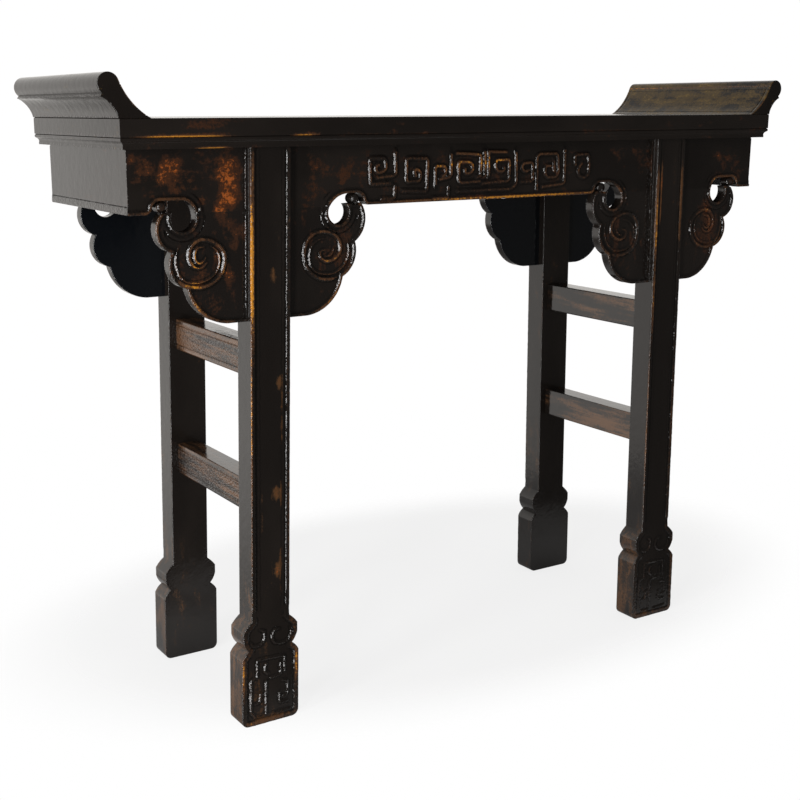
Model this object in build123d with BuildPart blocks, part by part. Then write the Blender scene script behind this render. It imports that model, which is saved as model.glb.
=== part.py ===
from build123d import *
import os
from math import cos, radians, sin, sqrt

# Chinese altar table with recessed legs and everted ends, in millimetres.
# +Z is up, the floor is z = 0, the table is long in X and its front faces -Y.
# Every piece is drawn in the +X +Y corner and mirrored to the other corners.

# ---------------------------------------------------------------- top frame
surface_height = 850.0  # floor to the table surface
frame_length = 1144.0  # between the end faces of the top frame
frame_depth = 330.0  # between the front and back faces of the top frame
frame_thickness = 37.5
rail_width = 75.0  # long and end rails alike, so their mitres run at 45 degrees

# Moulding round the frame, from its underside up: fillet, cove, bead, fascia
moulding_recess = 4.5  # the fillet lies this far inside the fascia
fillet_height = 2.5
cove_height = 6.5
cove_sag = 1.2  # hollow of the cove behind its chord
bead_height = 5.5
bead_quirk = 2.2  # the bead springs from this depth behind the fascia

# Mitre tenons of the long rails in the end rails
mitre_tenon_width = 25.0
mitre_tenon_thickness = 9.0
mitre_tenon_inset = 25.0  # from the outer face of the long rail
mitre_tenon_wall = 14.0  # left between the tenon's end and the frame's end face

# ------------------------------------------------------------- everted ends
roll_radius = 14.2
roll_overhang = 12.0  # the roll's axis lies this far beyond the frame's end face
roll_rise = 40.5  # and this far above the table surface
roll_inner_angle = 158.0  # where the inner sweep runs into the roll
roll_outer_angle = -53.0  # where the roll ends over the outer cove
roll_notch = 3.8  # step from the roll in to the outer cove
sweep_run = 42.0  # the sweep's foot lies this far inside the end face
sweep_sag = 5.4
outer_cove_sag = 3.8
outer_cove_lip = 1.0  # the outer cove ends on a lip proud of the fascia

# -------------------------------------------------------- panel and battens
panel_thickness = 14.0
tongue_thickness = 6.0
tongue_length = 7.0
tongue_drop = 4.0  # from the table surface to the tongue
groove_play = 1.0  # room beyond the tongue for the panel to move

batten_count = 3
batten_spacing = 330.0
batten_width = 30.0
batten_height = 20.0
dovetail_height = 3.5
dovetail_neck = 22.0
dovetail_spread = 28.0
batten_tenon_width = 18.0
batten_tenon_thickness = 9.0
batten_tenon_length = 16.0

# ------------------------------------------------------------------- aprons
apron_height = 81.5
apron_thickness = 16.0
apron_setback = 20.0  # behind the frame's front face
end_apron_setback = 14.0  # inside the frame's end face

# --------------------------------------------------------------------- legs
leg_width = 59.7
leg_depth = 39.5
leg_proud = 10.5  # a leg's face stands this far outside the apron's face
leg_inset = 210.6  # leg axis at the underside of the top, inside the end face
leg_splay = 13.8  # the foot stands this much further out than the top
leg_tenon_shoulder = 2.0
leg_tenon_side = 10.0  # shoulder at each side of a leg's tenons
leg_tenon_length = 20.0

leg_bead_width = 6.0  # bead left standing along each edge of a leg's face
leg_groove_width = 3.2
leg_groove_depth = 1.8
leg_line_inset = 12.5  # fine line inside the bead
leg_line_width = 1.4
leg_line_depth = 0.8
leg_groove_end = 12.0  # the grooves stop this far above the collar

# Feet: a block, a neck and an upright collar chamfered up to the shank
foot_width = 90.6
foot_block_height = 102.5
foot_corner_radius = 10.0
neck_width = 69.0
neck_height = 115.0
shoulder_bulge = 1.0
collar_width = 86.4
collar_height = 131.0  # foot of the collar's upright side
collar_shoulder_height = 144.0
collar_top_height = 158.0
collar_lower_bulge = 1.2
collar_upper_bulge = 0.8

# --------------------------------------------------------------- stretchers
stretcher_heights = {"upper": 526.0, "lower": 331.0}  # centre above the floor
stretcher_height = 47.0
stretcher_thickness = 36.0
stretcher_round = 2.5
stretcher_line_inset = 8.5  # groove along each edge of the outer face
stretcher_line_width = 2.0
stretcher_line_depth = 1.2
stretcher_tenon_height = 31.0
stretcher_tenon_thickness = 12.0
stretcher_tenon_length = 22.0

# ---------------------------------------------------------- cloud spandrels
# Outline points are (reach from the fork's middle, height over the apron's lower edge).
spandrel_drop = 147.0  # from the apron's lower edge to the spandrel's foot
foot_flat = 60.0  # reach of the flat foot
lower_lobe_bulge = 13.0
lower_cusp = (117.5, -97.0)
middle_lobe_bulge = {"outer": 13.0, "inner": 9.5}
middle_cusp = (137.5, -49.3)
hook_width = {"outer": 12.2, "inner": 23.7}  # of the hook's tip, outward from the eye
hook_rise = 3.5
hook_inner_rise = 2.5  # where the hook's tip meets the eye
hook_bulge = {"outer": 16.0, "inner": 11.5}
eye_reach = {"outer": 120.0, "inner": 111.3}  # centre of the pierced eye
eye_rise = {"outer": -6.0, "inner": -8.4}
eye_radius = {"outer": 17.5, "inner": 16.6}
ball_radius = 7.4  # the ball that the hook's tip holds up to the apron
ball_rise = 9.2
ball_overhang = {"outer": 1.5, "inner": -9.5}  # of its middle, past the hook's outer corner
ball_clearance = 0.2  # between the ball and the apron
crown_run = {"outer": 28.0, "inner": 12.0}  # level top of the apron's notch, up to the ball
crown_bulge = 4.3
arch_overrun = 14.0  # the notch runs on this far past the ball's middle
arch_shoulder_rise = 4.5
arch_shoulder_bulge = 4.5
arch_lip = 6.5  # and flares by this much at the apron's lower edge
spandrel_tongue_thickness = 5.0
spandrel_tongue_height = 6.0
spandrel_tongue_margin = 6.0  # between the tongue's end and the eye

# --------------------------------------------------------- worked-out places
frame_end = frame_length / 2
frame_face = frame_depth / 2
underside = surface_height - frame_thickness
inner_end = frame_end - rail_width
inner_face = frame_face - rail_width

groove_depth = tongue_length + groove_play
tongue_bottom = surface_height - tongue_drop - tongue_thickness
batten_top = surface_height - panel_thickness
batten_places = [batten_spacing * (i - (batten_count - 1) / 2) for i in range(batten_count)]
batten_tenon_bottom = batten_top - (batten_height + batten_tenon_thickness) / 2

apron_face = frame_face - apron_setback
apron_back = apron_face - apron_thickness
apron_middle = (apron_face + apron_back) / 2
apron_end = frame_end - end_apron_setback
apron_bottom = underside - apron_height

leg_face = apron_face + leg_proud
leg_back = leg_face - leg_depth
fork_bottom = apron_bottom - spandrel_drop
fork_middle_height = (underside + fork_bottom) / 2
arch_rise = ball_rise + ball_radius + ball_clearance
outward = {"outer": 1, "inner": -1}  # which way a spandrel reaches from its leg


def leg_axis(z):
    """X of the right-hand legs' leaning axis at height z."""
    return frame_end - leg_inset + leg_splay * (1 - z / underside)


fork_middle = leg_axis(fork_middle_height)


def across(y):
    """Plane at depth y that faces the front, with X to its right and Z up."""
    return Plane.XZ.offset(-y)


def arc(start, end, bulge, place=lambda point: point):
    """Arc that swells by bulge to the right of its chord, drawn where place puts it."""
    (x1, y1), (x2, y2) = start, end
    chord = sqrt((x2 - x1) ** 2 + (y2 - y1) ** 2)
    middle = (
        (x1 + x2) / 2 + bulge * (y2 - y1) / chord,
        (y1 + y2) / 2 - bulge * (x2 - x1) / chord,
    )
    ThreePointArc(place(start), place(middle), place(end))


def moulded_edge(face):
    """Moulding from the frame's underside up to the foot of the fascia at face."""
    fillet_foot = (face - moulding_recess, underside)
    cove_foot = (face - moulding_recess, underside + fillet_height)
    bead_foot = (face - bead_quirk, cove_foot[1] + cove_height)
    bead_head = (face - bead_quirk, bead_foot[1] + bead_height)
    fascia_foot = (face, bead_head[1])
    Line(fillet_foot, cove_foot)
    arc(cove_foot, bead_foot, -cove_sag)
    arc(bead_foot, bead_head, bead_quirk)
    Line(bead_head, fascia_foot)
    return fascia_foot, fillet_foot


def save(part, name, left=False, front=False):
    """Write a piece of the +X +Y corner, mirrored to the corner that it belongs to."""
    with BuildPart() as piece:
        add(part)
        if left:
            mirror(about=Plane.YZ, mode=Mode.REPLACE)
        if front:
            mirror(about=Plane.XZ, mode=Mode.REPLACE)
    piece.part.label = name
    export_step(piece.part, f"parts/{name}.step")


def save_at_corners(part, name):
    """Write a piece at all four corners; name has places for the face and the side."""
    for face in ("front", "back"):
        for side in ("left", "right"):
            save(part, name.format(face=face, side=side), side == "left", face == "front")


os.makedirs("parts", exist_ok=True)

# ---------------------------------------------------- tenons and tongue, as tools
with BuildPart() as mitre_tenon:
    with BuildSketch(Plane.XY.offset(underside + (frame_thickness - mitre_tenon_thickness) / 2)):
        with Locations((0, frame_face - mitre_tenon_inset - mitre_tenon_width / 2)):
            Rectangle(2 * (frame_end - mitre_tenon_wall), mitre_tenon_width)
    extrude(amount=mitre_tenon_thickness)

with BuildPart() as panel_groove:
    with BuildSketch(Plane.XY.offset(tongue_bottom)):
        Rectangle(2 * (inner_end + groove_depth), 2 * (inner_face + groove_depth))
    extrude(amount=tongue_thickness)

with BuildPart() as leg_tenons:
    with BuildSketch(Plane.XY.offset(underside)):
        for inside, outside in ((leg_back, apron_back), (apron_face, leg_face)):
            with Locations((leg_axis(underside), (inside + outside) / 2)):
                Rectangle(
                    leg_width - 2 * leg_tenon_side,
                    outside - inside - 2 * leg_tenon_shoulder,
                )
    extrude(amount=leg_tenon_length)

with BuildPart() as batten_tenons:
    with BuildSketch(Plane.XY.offset(batten_tenon_bottom)):
        with Locations([(x, 0) for x in batten_places]):
            Rectangle(batten_tenon_width, 2 * (inner_face + batten_tenon_length))
    extrude(amount=batten_tenon_thickness)

with BuildPart() as batten_keys:
    with BuildSketch(Plane.XZ):
        with Locations([(x, batten_top) for x in batten_places]):
            Polygon(
                (-dovetail_neck / 2, 0),
                (dovetail_neck / 2, 0),
                (dovetail_spread / 2, dovetail_height),
                (-dovetail_spread / 2, dovetail_height),
                align=None,
            )
    extrude(amount=inner_face, both=True)

# ------------------------------------------------------------------ long rails
with BuildPart() as long_rail:
    with BuildSketch(Plane.YZ):
        with BuildLine():
            fascia_foot, fillet_foot = moulded_edge(frame_face)
            Polyline(
                fascia_foot,
                (frame_face, surface_height),
                (inner_face, surface_height),
                (inner_face, underside),
                fillet_foot,
            )
        make_face()
    extrude(amount=frame_end, both=True)
    with BuildSketch(Plane.XY.offset(underside)):
        for end in (-1, 1):
            Polygon(
                (end * frame_end, frame_face),
                (end * frame_end, inner_face),
                (end * inner_end, inner_face),
                align=None,
            )
    extrude(amount=frame_thickness, mode=Mode.SUBTRACT)
    add(mitre_tenon.part)
    add(panel_groove.part, mode=Mode.SUBTRACT)
    add(batten_tenons.part, mode=Mode.SUBTRACT)
    add(leg_tenons.part, mode=Mode.SUBTRACT)
    add(leg_tenons.part.mirror(Plane.YZ), mode=Mode.SUBTRACT)

save(long_rail.part, "top_back_rail")
save(long_rail.part, "top_front_rail", front=True)

# ---------------------------------------------------------------- everted ends
# The end rail and the flange that curls up from it are one piece of wood.


def on_roll(angle, step=0.0):
    """Point on the roll's outline, or a step outside it, by its angle over +X."""
    return (
        frame_end + roll_overhang + (roll_radius + step) * cos(radians(angle)),
        surface_height + roll_rise + (roll_radius + step) * sin(radians(angle)),
    )


with BuildPart() as everted_end:
    with BuildSketch(Plane.XZ):
        with BuildLine():
            fascia_foot, fillet_foot = moulded_edge(frame_end)
            cove_foot = (frame_end + outer_cove_lip, surface_height)
            cove_head = on_roll(roll_outer_angle, roll_notch)
            sweep_foot = (frame_end - sweep_run, surface_height)
            Polyline(fascia_foot, (frame_end, surface_height), cove_foot)
            arc(cove_foot, cove_head, -outer_cove_sag)
            Line(cove_head, on_roll(roll_outer_angle))
            ThreePointArc(
                on_roll(roll_outer_angle),
                on_roll((roll_outer_angle + roll_inner_angle) / 2),
                on_roll(roll_inner_angle),
            )
            arc(on_roll(roll_inner_angle), sweep_foot, -sweep_sag)
            Polyline(
                sweep_foot,
                (inner_end, surface_height),
                (inner_end, underside),
                fillet_foot,
            )
        make_face()
    extrude(amount=frame_face, both=True)
    with BuildSketch(Plane.XY.offset(underside)):
        for face in (-1, 1):
            Polygon(
                (frame_end, face * frame_face),
                (inner_end, face * frame_face),
                (inner_end, face * inner_face),
                align=None,
            )
    extrude(amount=frame_thickness, mode=Mode.SUBTRACT)
    add(mitre_tenon.part, mode=Mode.SUBTRACT)
    add(mitre_tenon.part.mirror(Plane.XZ), mode=Mode.SUBTRACT)
    add(panel_groove.part, mode=Mode.SUBTRACT)

save(everted_end.part, "everted_end_right")
save(everted_end.part, "everted_end_left", left=True)

# ----------------------------------------------------------- panel and battens
with BuildPart() as top_panel:
    with BuildSketch(Plane.XY.offset(batten_top)):
        Rectangle(2 * inner_end, 2 * inner_face)
    extrude(amount=panel_thickness)
    with BuildSketch(Plane.XY.offset(tongue_bottom)):
        Rectangle(2 * (inner_end + tongue_length), 2 * (inner_face + tongue_length))
    extrude(amount=tongue_thickness)
    add(batten_keys.part, mode=Mode.SUBTRACT)

save(top_panel.part, "top_panel")

with BuildPart() as battens:
    with BuildSketch(Plane.XY.offset(batten_top - batten_height)):
        with Locations([(x, 0) for x in batten_places]):
            Rectangle(batten_width, 2 * inner_face)
    extrude(amount=batten_height)
    add(batten_keys.part)
    add(batten_tenons.part)

for number, batten in enumerate(battens.solids().sort_by(Axis.X), start=1):
    save(batten, f"panel_batten_{number}")

# ------------------------------------------------------------ cloud spandrels


def on_spandrel(kind, side=1):
    """Place for an outline point, given as (reach from the fork, rise over the apron's edge)."""
    return lambda point: (
        side * (fork_middle + outward[kind] * point[0]),
        apron_bottom + point[1],
    )


def eye_crossing(kind, rise, past):
    """Point of the eye's outline at a rise, before (-1) or past (1) its middle."""
    half_width = sqrt(eye_radius[kind] ** 2 - (rise - eye_rise[kind]) ** 2)
    return (eye_reach[kind] + past * half_width, rise)


def hook_tip(kind):
    """Outer corner of the hook's tip, beyond the eye."""
    return (eye_crossing(kind, hook_inner_rise, 1)[0] + hook_width[kind], hook_rise)


def ball_middle(kind):
    """Middle of the ball on the hook's tip."""
    return (hook_tip(kind)[0] + ball_overhang[kind], ball_rise)


def spandrel_tongue(kind):
    """Tongue on a spandrel's top edge, which enters the apron's lower edge."""
    length = eye_crossing(kind, 0, -1)[0] - spandrel_tongue_margin
    with BuildPart() as tongue:
        with BuildSketch(Plane.XY.offset(apron_bottom)):
            with Locations((fork_middle + outward[kind] * length / 2, apron_middle)):
                Rectangle(length, spandrel_tongue_thickness)
        extrude(amount=spandrel_tongue_height)
    return tongue.part


def cloud_spandrel(kind):
    """Board with three lobes; the top one curls round an eye and holds a ball."""
    place = on_spandrel(kind)
    foot = (foot_flat, -spandrel_drop)
    with BuildPart() as spandrel:
        with BuildSketch(across(apron_face)):
            with BuildLine():
                Polyline(place((0, 0)), place((0, -spandrel_drop)), place(foot))
                arc(foot, lower_cusp, lower_lobe_bulge, place)
                arc(lower_cusp, middle_cusp, middle_lobe_bulge[kind], place)
                arc(middle_cusp, hook_tip(kind), hook_bulge[kind], place)
                Polyline(
                    place(hook_tip(kind)),
                    place(eye_crossing(kind, hook_inner_rise, 1)),
                    place((eye_reach[kind], eye_rise[kind])),
                    place(eye_crossing(kind, 0, -1)),
                    place((0, 0)),
                )
            make_face()
            with Locations(place(ball_middle(kind))):
                Circle(ball_radius)
            with Locations(place((eye_reach[kind], eye_rise[kind]))):
                Circle(eye_radius[kind], mode=Mode.SUBTRACT)
        extrude(amount=apron_thickness)
        add(spandrel_tongue(kind))
    return spandrel.part


for kind in outward:
    save_at_corners(cloud_spandrel(kind), "spandrel_{face}_{side}_" + kind)

# ---------------------------------------------------------------------- aprons
with BuildPart() as long_apron:
    with BuildSketch(Plane.XY.offset(apron_bottom)):
        Polygon(
            (apron_end, apron_face),
            (-apron_end, apron_face),
            (apron_thickness - apron_end, apron_back),
            (apron_end - apron_thickness, apron_back),
            align=None,
        )
    extrude(amount=apron_height)
    # Notches over the spandrels' eyes and balls
    with BuildSketch(across(apron_face)):
        for side in (-1, 1):
            for kind in outward:
                place = on_spandrel(kind, side)
                eye_side = eye_crossing(kind, 0, -1)
                ball_top = (ball_middle(kind)[0], arch_rise)
                crown = (ball_top[0] - crown_run[kind], arch_rise)
                shoulder = (ball_top[0] + arch_overrun, arch_shoulder_rise)
                lip = (shoulder[0] + arch_lip, 0)
                with BuildLine():
                    arc(eye_side, crown, -crown_bulge, place)
                    Line(place(crown), place(ball_top))
                    arc(ball_top, shoulder, -arch_shoulder_bulge, place)
                    Polyline(place(shoulder), place(lip), place(eye_side))
                make_face()
    extrude(amount=apron_thickness, mode=Mode.SUBTRACT)
    for kind in outward:
        add(spandrel_tongue(kind), mode=Mode.SUBTRACT)
        add(spandrel_tongue(kind).mirror(Plane.YZ), mode=Mode.SUBTRACT)

save(long_apron.part, "apron_back")
save(long_apron.part, "apron_front", front=True)

with BuildPart() as end_apron:
    with BuildSketch(Plane.XY.offset(apron_bottom)):
        Polygon(
            (apron_end, -apron_face),
            (apron_end, apron_face),
            (apron_end - apron_thickness, apron_back),
            (apron_end - apron_thickness, -apron_back),
            align=None,
        )
    extrude(amount=apron_height)

save(end_apron.part, "apron_right_end")
save(end_apron.part, "apron_left_end", left=True)

# ------------------------------------------------------------------ stretchers


def stretcher_tenons(height):
    """Tenons of a stretcher, running on through its length."""
    with BuildPart() as tenons:
        with BuildSketch(Plane.XZ):
            with Locations((leg_axis(height), height)):
                Rectangle(stretcher_tenon_thickness, stretcher_tenon_height)
        extrude(amount=leg_back + stretcher_tenon_length, both=True)
    return tenons.part


for level, height in stretcher_heights.items():
    with BuildPart() as stretcher:
        with BuildSketch(Plane.XZ):
            with Locations((leg_axis(height), height)):
                RectangleRounded(stretcher_thickness, stretcher_height, stretcher_round)
            line_rise = stretcher_height / 2 - stretcher_line_inset
            outer_face = leg_axis(height) + stretcher_thickness / 2
            with Locations((outer_face, height - line_rise), (outer_face, height + line_rise)):
                Rectangle(2 * stretcher_line_depth, stretcher_line_width, mode=Mode.SUBTRACT)
        extrude(amount=leg_back, both=True)
        add(stretcher_tenons(height))
    save(stretcher.part, f"stretcher_right_{level}")
    save(stretcher.part, f"stretcher_left_{level}", left=True)

# ------------------------------------------------------------------------ legs
# Each leg leans outward, is forked to clasp the apron and the spandrels, and is
# tenoned into the long rail from both cheeks of the fork.


def on_leg(side):
    """Place for a point given as (distance from the leaning axis, height)."""
    return lambda point: (leg_axis(point[1]) + side * point[0], point[1])


with BuildPart() as leg:
    with BuildSketch(across(leg_face)):
        with BuildLine():
            for side in (-1, 1):
                place = on_leg(side)
                corner = foot_width / 2
                round_foot = (corner - foot_corner_radius, 0)
                round_head = (corner, foot_corner_radius)
                block_top = (corner, foot_block_height)
                neck = (neck_width / 2, neck_height)
                collar = (collar_width / 2, collar_height)
                collar_shoulder = (collar_width / 2, collar_shoulder_height)
                shank_foot = (leg_width / 2, collar_top_height)
                shank_top = (leg_width / 2, underside)
                Line(place((0, 0)), place(round_foot))
                arc(round_foot, round_head, foot_corner_radius * (1 - sqrt(0.5)), place)
                Line(place(round_head), place(block_top))
                arc(block_top, neck, shoulder_bulge, place)
                arc(neck, collar, collar_lower_bulge, place)
                Line(place(collar), place(collar_shoulder))
                arc(collar_shoulder, shank_foot, collar_upper_bulge, place)
                Polyline(place(shank_foot), place(shank_top), place((0, underside)))
        make_face()
    extrude(amount=leg_depth)
    # Fork for the apron and the spandrels
    with BuildSketch(Plane.XY.offset(fork_bottom)):
        with Locations((fork_middle, apron_middle)):
            Rectangle(leg_width + leg_splay, apron_thickness)
    extrude(amount=underside - fork_bottom, mode=Mode.SUBTRACT)
    add(leg_tenons.part)
    for height in stretcher_heights.values():
        add(stretcher_tenons(height), mode=Mode.SUBTRACT)
    # Bead and fine line along both edges of the outward face
    for inset, width, depth in (
        (leg_bead_width, leg_groove_width, leg_groove_depth),
        (leg_line_inset, leg_line_width, leg_line_depth),
    ):
        near = leg_width / 2 - inset - width
        far = leg_width / 2 - inset
        with BuildSketch(across(leg_face)):
            for side in (-1, 1):
                place = on_leg(side)
                Polygon(
                    place((near, collar_top_height + leg_groove_end)),
                    place((far, collar_top_height + leg_groove_end)),
                    place((far, underside)),
                    place((near, underside)),
                    align=None,
                )
        extrude(amount=depth, mode=Mode.SUBTRACT)

save_at_corners(leg.part, "leg_{face}_{side}")
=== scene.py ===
from math import cos, hypot, pi, radians, sin

import bmesh
import bpy
import numpy as np
from mathutils import Matrix, Vector, noise
from mathutils.bvhtree import BVHTree
from mathutils.geometry import delaunay_2d_cdt


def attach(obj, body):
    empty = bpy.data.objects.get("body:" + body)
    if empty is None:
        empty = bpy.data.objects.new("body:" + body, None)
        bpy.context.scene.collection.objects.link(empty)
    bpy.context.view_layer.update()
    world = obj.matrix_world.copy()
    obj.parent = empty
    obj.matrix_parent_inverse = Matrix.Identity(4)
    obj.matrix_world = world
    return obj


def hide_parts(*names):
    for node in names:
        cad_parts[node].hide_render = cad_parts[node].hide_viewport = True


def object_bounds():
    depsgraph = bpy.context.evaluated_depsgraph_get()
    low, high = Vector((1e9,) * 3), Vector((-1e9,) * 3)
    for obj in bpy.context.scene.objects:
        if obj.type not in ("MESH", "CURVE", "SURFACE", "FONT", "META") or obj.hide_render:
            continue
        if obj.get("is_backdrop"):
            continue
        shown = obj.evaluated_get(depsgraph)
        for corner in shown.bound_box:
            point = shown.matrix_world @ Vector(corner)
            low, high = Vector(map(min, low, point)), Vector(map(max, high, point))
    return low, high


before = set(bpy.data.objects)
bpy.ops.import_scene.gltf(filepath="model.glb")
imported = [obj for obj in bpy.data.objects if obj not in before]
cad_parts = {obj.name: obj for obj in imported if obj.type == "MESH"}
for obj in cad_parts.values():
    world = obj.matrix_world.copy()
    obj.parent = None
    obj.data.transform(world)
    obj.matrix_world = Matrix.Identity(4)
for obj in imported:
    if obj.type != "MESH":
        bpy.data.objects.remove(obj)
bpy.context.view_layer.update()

# Chinese altar table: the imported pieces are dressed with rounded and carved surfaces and
# procedural lacquer. Lengths in this script are millimetres unless a name says otherwise;
# meshes are written in metres.
MM = 0.001

# ------------------------------------------------------------------ sizes of the frame
SURFACE = 850.0
UNDERSIDE = 812.5
FRAME_END, FRAME_FACE = 572.0, 165.0
INNER_END, INNER_FACE = 497.0, 90.0
SWEEP_FOOT = 530.0  # the flange's inner slope starts here
ROLL_CENTRE, ROLL_RADIUS, ROLL_NOTCH = (584.0, 890.5), 14.15, 3.8
ROLL_ANGLES = (-53.0, 158.0)
APRON_BOTTOM = 731.0
APRON_FACE, APRON_BACK, APRON_END, APRON_END_BACK = 145.0, 129.0, 558.0, 542.0
LEG_FACE, LEG_BACK = 155.5, 116.0
FORK_MIDDLE = 363.3
EYE = {"outer": (120.0, -6.0), "inner": (111.3, -8.4)}
EYE_SIDE = {"outer": 103.56, "inner": 96.98}  # reach of the eye's near side at the seam
BALL = {"outer": (149.0, 9.2), "inner": (138.0, 9.2)}
BALL_RADIUS = 7.4
GROUND = -0.8  # the carver's ground lies this far behind a board's face
SIDES = {"left": -1, "right": 1}
FACES = {"front": -1, "back": 1}
REACHES = {"outer": 1, "inner": -1}


def leg_axis(z):
    """X of the right-hand legs' leaning axis at height z."""
    return 361.4 + 13.8 * (1 - z / UNDERSIDE)


# ------------------------------------------------------------------------- small maths
def smooth(x):
    x = np.clip(x, 0.0, 1.0)
    return x * x * (3 - 2 * x)


def segments_of(points, closed=False):
    points = np.asarray(points, float)
    both = np.hstack([points, np.roll(points, -1, axis=0)])
    return both if closed else both[:-1]


def outline_where(loop, kept):
    """Segments of the closed outline whose middles pass the test."""
    ring = segments_of(loop, True)
    middle = (ring[:, :2] + ring[:, 2:]) / 2
    return ring[kept(middle[:, 0], middle[:, 1])]


def distances(points, segments):
    """Distance from each point to the nearest of the segments."""
    points = np.asarray(points, float)
    if not len(points):
        return np.zeros(0)
    count = len(segments)
    ends = segments[:, :2].tolist() + segments[:, 2:].tolist()
    corners = [(x, y, z) for z in (-1.0, 1.0) for x, y in ends]
    walls = [(i, i + count, i + 3 * count, i + 2 * count) for i in range(count)]
    tree = BVHTree.FromPolygons(corners, walls)
    return np.array([tree.find_nearest((u, v, 0.0))[3] for u, v in points.tolist()])


def curve_through(points, step=2.0):
    """Catmull-Rom curve through the points."""
    p = np.asarray(points, float)
    p = np.vstack([2 * p[0] - p[1], p, 2 * p[-1] - p[-2]])
    out = []
    for a, b, c, d in zip(p, p[1:], p[2:], p[3:]):
        for t in np.linspace(0, 1, max(2, int(np.linalg.norm(c - b) / step)), endpoint=False):
            out.append(0.5 * (2 * b + (c - a) * t + (2 * a - 5 * b + 4 * c - d) * t ** 2
                              + (3 * b - a - 3 * c + d) * t ** 3))
    out.append(p[-2])
    return np.array(out)


def rounded_path(points, radius=4.0, count=4, closed=False):
    """Polyline with its corners rounded; radius is one number or one for each point."""
    p = [np.asarray(q, float) for q in points]
    radii = [radius] * len(p) if np.isscalar(radius) else list(radius)
    inner = range(len(p)) if closed else range(1, len(p) - 1)
    out = [] if closed else [p[0]]
    for i in inner:
        a, b, c = p[i - 1], p[i], p[(i + 1) % len(p)]
        u, v = a - b, c - b
        lu, lv = np.linalg.norm(u), np.linalg.norm(v)
        r = min(radii[i], lu * 0.49, lv * 0.49)
        if r < 1e-6:
            out.append(b)
            continue
        s, e = b + u / lu * r, b + v / lv * r
        out += [(1 - t) ** 2 * s + 2 * t * (1 - t) * b + t ** 2 * e
                for t in np.linspace(0, 1, count + 1)]
    if not closed:
        out.append(p[-1])
    return np.array(out)


def arc_points(start, end, bulge, count=10):
    """Arc that swells by bulge to the right of its chord."""
    start, end = np.array(start, float), np.array(end, float)
    chord = end - start
    length = hypot(*chord)
    right = np.array([chord[1], -chord[0]]) / length
    radius = (length ** 2 / 4 + bulge ** 2) / (2 * abs(bulge))
    sign = 1 if bulge > 0 else -1
    centre = (start + end) / 2 + right * (bulge - sign * radius)
    half = np.arcsin(min(1.0, length / 2 / radius))
    axis = right * sign
    along = chord / length
    return [tuple(centre + radius * (cos(t) * axis + sin(t) * along))
            for t in np.linspace(-half, half, count + 1)]


def lumps(points, size, seed=0.0):
    """Soft random lumps, from -1 to 1, of about this size."""
    return np.array([noise.noise(Vector((u / size, v / size, seed))) for u, v in points])


def area_of(loop):
    x, y = loop[:, 0], loop[:, 1]
    return 0.5 * float((x * np.roll(y, -1) - y * np.roll(x, -1)).sum())


def finer(loop, step):
    """The outline with its long segments divided, turning left."""
    if area_of(loop) < 0:
        loop = loop[::-1]
    out = []
    for a, b in zip(loop, np.roll(loop, -1, axis=0)):
        count = max(1, int(np.ceil(np.linalg.norm(b - a) / step)))
        out += [a + (b - a) * i / count for i in range(count)]
    return np.array(out)


def left_normals(loop, closed=True):
    """Unit normals to the left of the path, longer at its corners."""
    before = loop - np.roll(loop, 1, axis=0)
    after = np.roll(loop, -1, axis=0) - loop
    if not closed:
        before[0], after[-1] = after[0], before[-1]
    normal = np.zeros_like(loop)
    for part in (before, after):
        length = np.maximum(np.linalg.norm(part, axis=1), 1e-9)
        normal += np.stack([-part[:, 1], part[:, 0]], axis=1) / length[:, None]
    return normal / np.maximum(np.linalg.norm(normal, axis=1), 0.35)[:, None]


def finer_line(path, step):
    """The open line with its long segments divided."""
    return np.vstack([path[:1]] + [
        np.linspace(a, b, max(1, int(np.ceil(np.linalg.norm(b - a) / step))) + 1)[1:]
        for a, b in zip(path, path[1:])])


def inside(points, loop, margin):
    """Indices of the points inside the outline and this far from it."""
    keep = np.where(np.all((points > loop.min(0)) & (points < loop.max(0)), axis=1))[0]
    x, y = points[keep, 0], points[keep, 1]
    within = np.zeros(len(keep), bool)
    for (x1, y1), (x2, y2) in zip(loop, np.roll(loop, -1, axis=0)):
        if y1 != y2:
            crosses = np.where((y1 > y) != (y2 > y))[0]
            left = x[crosses] < (x2 - x1) * (y[crosses] - y1) / (y2 - y1) + x1
            within[crosses[left]] ^= True
    keep = keep[within]
    return keep[distances(points[keep], segments_of(loop, True)) > margin]


def hex_grid(low, high, step):
    """Points of a triangular grid over a box."""
    rows = []
    for j, v in enumerate(np.arange(low[1], high[1], step * sin(pi / 3))):
        u = np.arange(low[0] + (j % 2) * step / 2, high[0], step)
        rows.append(np.stack([u, np.full_like(u, v)], axis=1))
    return np.vstack(rows)


class Thinned:
    """Points accepted one by one, none nearer to another than a gap given with each lot."""

    CELL = 2.0

    def __init__(self, first):
        self.cells = {}
        self.points = []
        self.add(first, 0.0)

    def add(self, points, gap):
        reach = int(np.ceil(gap / self.CELL))
        for u, v in points:
            i, j = int(u // self.CELL), int(v // self.CELL)
            near = (q for di in range(-reach, reach + 1) for dj in range(-reach, reach + 1)
                    for q in self.cells.get((i + di, j + dj), ()))
            if all((q[0] - u) ** 2 + (q[1] - v) ** 2 >= gap * gap for q in near):
                self.cells.setdefault((i, j), []).append((u, v))
                self.points.append((u, v))


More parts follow.
